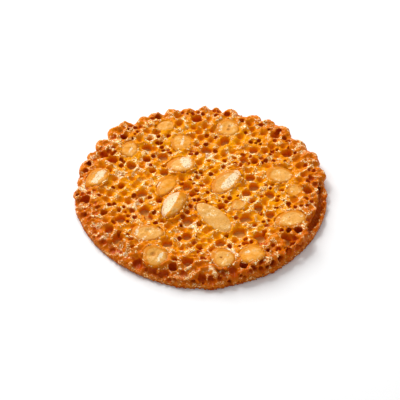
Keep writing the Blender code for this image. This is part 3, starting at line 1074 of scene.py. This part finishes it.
def make_flake(name, middle, axes, half):
    """An almond flake: a bowed, rippled disc of rings, with what its material reads."""
    draw = random.Random(name)
    turns = [draw.random() * math.tau for _ in range(3)]
    bow = 0.35 * (draw.random() - 0.3)
    ridged = name == RIDGED_FLAKE
    shape = bmesh.new()
    edge_layer = shape.verts.layers.float.new("border")
    bare_highlight_layer = shape.verts.layers.float.new("bare_highlight")
    side_layer = shape.verts.layers.float.new("glazed_side")
    dent_shade_layer = shape.verts.layers.float.new("dent")
    brown_layer = shape.verts.layers.float.new("brown")
    patches = BARE_HIGHLIGHT_PATCHES.get(name, ())
    dents = DENTS.get(name, ())

    def add_vertex(share, angle, side):
        """A point at a share of the way out, on the upper (1) or lower (-1) side."""
        wobble = 1 + 0.03 * math.sin(2 * angle + turns[0]) + 0.025 * math.sin(3 * angle + turns[1])
        heading = Vector((math.cos(angle), math.sin(angle), turns[2]))
        wobble += 0.05 * noise.noise(heading * 2.2) - 0.02
        reach = share * wobble
        along, across = math.cos(angle) * reach, math.sin(angle) * reach
        across *= 1 - 0.16 * along
        past_ridge = across - RIDGE + RIDGE_BEND * (along * along - 0.5)
        bulge = math.sqrt(max(0.0, 1 - share**6))
        if ridged and side > 0:
            fold = 1 - abs(past_ridge) / 0.9
            bulge = math.sqrt(max(0.0, 1 - share**5)) * (0.4 + 0.6 * max(0.0, fold))
        up = side * bulge * (1.0 if ridged else 1 - bow * (1 - share**2))
        local = Vector((along * half.x, across * half.y, up * half.z))
        ripple = noise.noise(Vector((local.x, local.y, turns[0])) / 1.7) * 0.22
        offset = axes @ local
        dent, dark = dent_share(offset, dents)
        if side > 0:
            local.z += ripple * (1 - share**4) - 0.4 * dent
        vertex = shape.verts.new((middle + axes @ local + BACK_SHIFT) * MM)
        vertex[edge_layer] = share
        vertex[bare_highlight_layer] = bare_highlight_share(offset, patches)
        vertex[side_layer] = offset.dot(GLAZED_SIDE) / (half.x + half.y) * 2
        vertex[dent_shade_layer] = dark
        vertex[brown_layer] = GLAZE[name][0]
        if ridged:
            # the face on one side of the ridge, towards the light, is bare and pale: a painted
            # highlight
            vertex[bare_highlight_layer] = smooth_step(-0.02, -0.14, past_ridge)
            vertex[brown_layer] = 1.0 - 0.45 * smooth_step(0.1, 0.7, past_ridge)
        return vertex

    angles = [math.tau * side / FLAKE_SIDES for side in range(FLAKE_SIDES)]
    rings = [[add_vertex(1.0, angle, 0) for angle in angles]]
    for ring_number in range(FLAKE_RINGS - 1, 0, -1):
        share = math.sin(math.pi / 2 * ring_number / FLAKE_RINGS)
        rings.append([add_vertex(share, angle, 1) for angle in angles])
        rings.insert(0, [add_vertex(share, angle, -1) for angle in angles])
    for lower, upper in zip(rings, rings[1:]):
        for side in range(FLAKE_SIDES):
            following = (side + 1) % FLAKE_SIDES
            shape.faces.new((lower[side], lower[following], upper[following], upper[side]))
    for ring_of_points, side in ((rings[0], -1), (rings[-1], 1)):
        tip = add_vertex(0.0, 0.0, side)
        for number in range(FLAKE_SIDES):
            pair = ring_of_points[number], ring_of_points[(number + 1) % FLAKE_SIDES]
            shape.faces.new((*pair, tip) if side > 0 else (*reversed(pair), tip))
    bmesh.ops.recalc_face_normals(shape, faces=shape.faces)
    mesh = bpy.data.meshes.new(name)
    shape.to_mesh(mesh)
    shape.free()
    mesh.shade_smooth()
    made = bpy.data.objects.new(name.replace("almond_flake", "flake"), mesh)
    bpy.context.scene.collection.objects.link(made)
    return made


def almond_material():
    made = bpy.data.materials.new("almond")
    made.use_nodes = True
    n = Tree(made.node_tree)
    shader = made.node_tree.nodes["Principled BSDF"]
    place = n.add("ShaderNodeTexCoord", None, None, "Object") * (1 / MM) - BACK_SHIFT
    edge = n.attribute("border")
    bare_highlight = n.attribute("bare_highlight")
    brown = n.attribute("brown")
    side = n.attribute("glazed_side")
    dent = n.attribute("dent")
    cloud = n.noise(place, 2.6, 3.0)
    fine = n.noise(place, 0.5, 2.0)

    # glaze, and bare flesh showing through it, placed as a painted highlight where the flakes
    # catch the light
    glaze = n.mix(brown, PALE_GLAZE, BROWN_GLAZE)
    colour = n.mix(n.smooth_step(0.38, 0.66, cloud) * 0.5, glaze, CREAM)
    colour = n.mix(n.smooth_step(0.45, 0.60, fine) * 0.5, colour, TOASTED)
    blotch = n.noise(place, 1.2, 2.0)
    highlight_shown = n.smooth_step(0.36, 0.62, bare_highlight + (blotch - 0.5) * 1.5 + (fine - 0.5) * 0.9)
    dots = speckles(n, place, 0.75, 0.20, 0.34)
    flesh = n.mix(fine, FLESH, PALE_FLESH)
    flesh = n.mix(dots * 0.85, flesh, FLESH_DOT)
    colour = n.mix(dots * 0.3, colour, GLAZE_DOT)
    colour = n.mix(highlight_shown * 0.9, colour, flesh)

    # a browner border; pale flecks, which are painted glints; and dark dents, which are painted
    # shade
    band = n.smooth_step(0.62, 0.80, edge + side * 0.2 + (cloud - 0.5) * 0.3)
    band = band.calculate("MAXIMUM", n.smooth_step(0.84, 0.94, edge)) * (1.0 - highlight_shown * 0.7)
    colour = n.mix(band * n.smooth_step(0.08, 0.2, brown) * 0.95, colour, BORDER)
    # painted glints, along the edge and scattered
    glint_flecks = n.smooth_step(0.56, 0.62, n.noise(place, 0.6, 0.0))
    border_glint_flecks = n.smooth_step(0.92, 0.99, edge) * glint_flecks
    colour = n.mix(border_glint_flecks * 0.6, colour, BORDER_GLINT_FLECK)
    scattered_glints = glint_flecks * n.smooth_step(0.5, 0.65, cloud) * (1.0 - brown * 0.8)
    colour = n.mix(scattered_glints * 0.7, colour, GLINT_FLECK)
    # painted shade in the dents
    colour = n.mix(dent * 0.95, colour, DENT_SHADE)
    n.plug(shader.inputs["Base Color"], colour)
    n.plug(shader.inputs["Roughness"], fine * 0.3 + 0.25)
    shader.inputs["Specular IOR Level"].default_value = 0.05
    relief = cloud * 0.18 + fine * 0.11 - dots * 0.08
    bump = n.add("ShaderNodeBump", None, {"Height": relief * MM, "Distance": 1.0, "Strength": 1.0})
    n.plug(shader.inputs["Normal"], bump)
    return made


def make_stage():
    bpy.ops.mesh.primitive_plane_add(size=4)
    floor = bpy.context.object
    floor.name = "floor"
    mat = bpy.data.materials.new("floor")
    mat.use_nodes = True
    shader = mat.node_tree.nodes["Principled BSDF"]
    shader.inputs["Base Color"].default_value = FLOOR_COLOUR
    shader.inputs["Roughness"].default_value = 0.9
    floor.data.materials.append(mat)


def area_light(name, place, size, power):
    data = bpy.data.lights.new(name, "AREA")
    data.shape = "DISK"
    data.size = size
    data.energy = power
    made = bpy.data.objects.new(name, data)
    bpy.context.scene.collection.objects.link(made)
    made.location = place
    made.rotation_euler = (-Vector(place)).to_track_quat("-Z", "Y").to_euler()


def make_camera():
    data = bpy.data.cameras.new("camera")
    data.lens = CAMERA_LENS
    data.sensor_width = 36
    data.clip_start = 0.01
    camera = bpy.data.objects.new("camera", data)
    bpy.context.scene.collection.objects.link(camera)
    elevation = math.radians(CAMERA_ELEVATION)
    away = Vector((0, -math.cos(elevation), math.sin(elevation)))
    camera.location = CAMERA_AIM + away * CAMERA_DISTANCE
    camera.rotation_euler = (CAMERA_AIM - camera.location).to_track_quat("-Z", "Y").to_euler()
    bpy.context.scene.camera = camera


def main():
    lace = make_lace()
    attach(lace, "root")
    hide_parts("caramel_lace")
    almond = almond_material()
    for name, (middle, axes, half) in FLAKES.items():
        flake = make_flake(name, middle, axes, half)
        flake.data.materials.append(almond)
        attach(flake, "root")
        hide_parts(name)
    make_stage()
    make_camera()
    for light in LIGHTS:
        area_light(*light)
    scene = bpy.context.scene
    scene.view_settings.view_transform = "Standard"
    world = bpy.data.worlds.new("world")
    world.use_nodes = True
    background = world.node_tree.nodes["Background"]
    background.inputs[0].default_value = (1, 1, 1, 1)
    background.inputs[1].default_value = WORLD_STRENGTH
    scene.world = world


main()
